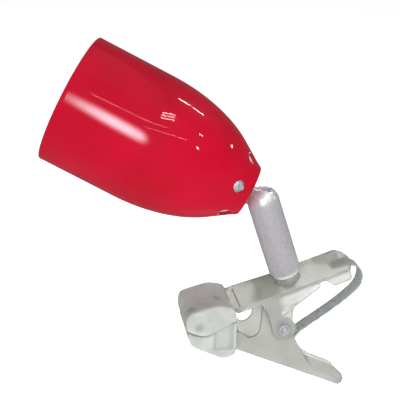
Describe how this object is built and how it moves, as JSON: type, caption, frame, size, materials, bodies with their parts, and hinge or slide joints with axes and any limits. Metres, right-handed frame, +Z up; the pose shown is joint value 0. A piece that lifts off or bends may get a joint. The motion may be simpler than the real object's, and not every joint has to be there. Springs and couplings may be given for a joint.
{
  "type": "clip on reading lamp",
  "caption": "Clip-on reading lamp: bullet shade on a tilting lug, domed swivel arm and a two-lever clip closed by a bent strip spring.",
  "frame": {"origin": "middle of the closed jaws, where the boots grip the edge that the lamp is clipped to", "axes": "+X from the jaws to the handles along the grip plane, +Z up out of the grip plane on the arm's side, +Y across the clip"},
  "size_m": [0.1596, 0.0753, 0.1825],
  "materials": {
    "red_lacquer": "glossy red lacquer on spun sheet",
    "silver_paint": "metallic silver paint with fine flake",
    "frosted_plastic": "frosted translucent moulded plastic",
    "soft_plastic": "soft translucent milky boot",
    "spring_steel": "polished bent strip",
    "zinc_steel": "bright zinc plated",
    "collar_plastic": "pale satin plastic",
    "brass": "plain brass",
    "holder_plastic": "heat-proof white moulding",
    "bulb_glass": "silvered reflector lamp with a frosted face",
    "lead_sleeve": "braided glass sleeve"
  },
  "bodies": {
    "clip_upper": {"upper_lever": "frosted_plastic", "upper_jaw_boot": "soft_plastic", "clip_spring": "spring_steel", "pivot_pin": "zinc_steel", "pivot_sleeve": "zinc_steel", "pivot_washer_near": "zinc_steel", "pivot_washer_far": "zinc_steel", "swivel_collar": "collar_plastic", "swivel_washer": "zinc_steel", "swivel_spring_washer": "spring_steel"},
    "clip_lower": {"lower_lever": "frosted_plastic", "lower_jaw_boot": "soft_plastic"},
    "arm": {"arm_tube": "silver_paint", "arm_foot_insert": "brass", "swivel_screw": "zinc_steel", "tilt_pin": "zinc_steel", "tilt_washer_near": "spring_steel", "tilt_washer_far": "spring_steel"},
    "head": {"shade_shell": "red_lacquer", "tilt_lug": "silver_paint", "lug_washer": "zinc_steel", "lug_nut": "brass", "lead_gland": "collar_plastic", "lead_live": "lead_sleeve", "lead_neutral": "lead_sleeve", "terminal_live": "brass", "terminal_neutral": "brass", "holder_bracket": "zinc_steel", "holder_screw_1": "zinc_steel", "holder_screw_2": "zinc_steel", "holder_screw_3": "zinc_steel", "lamp_holder": "holder_plastic", "centre_contact": "brass", "socket_sleeve": "brass", "bulb_cap": "brass", "bulb_glass": "bulb_glass"}
  },
  "joints": [
    {"name": "clip_open", "type": "hinge", "parent": "clip_upper", "child": "clip_lower", "pos_m": [0.038, 0, -0.003], "axis": [0, -1, 0], "range_deg": [0, 32], "stiffness_Nm_per_rad": 1.2, "springref_deg": -25.78, "deforming": ["clip_spring"]},
    {"name": "arm_swivel", "type": "hinge", "parent": "clip_upper", "child": "arm", "pos_m": [0.0407, 0, 0.0246], "axis": [-0.309, 0, 0.9511], "range_deg": [-160, 160]},
    {"name": "head_tilt", "type": "hinge", "parent": "arm", "child": "head", "pos_m": [0.02862, 0, 0.06179], "axis": [0.3253, 0.9397, 0.1057], "range_deg": [-45, 45]}
  ]
}
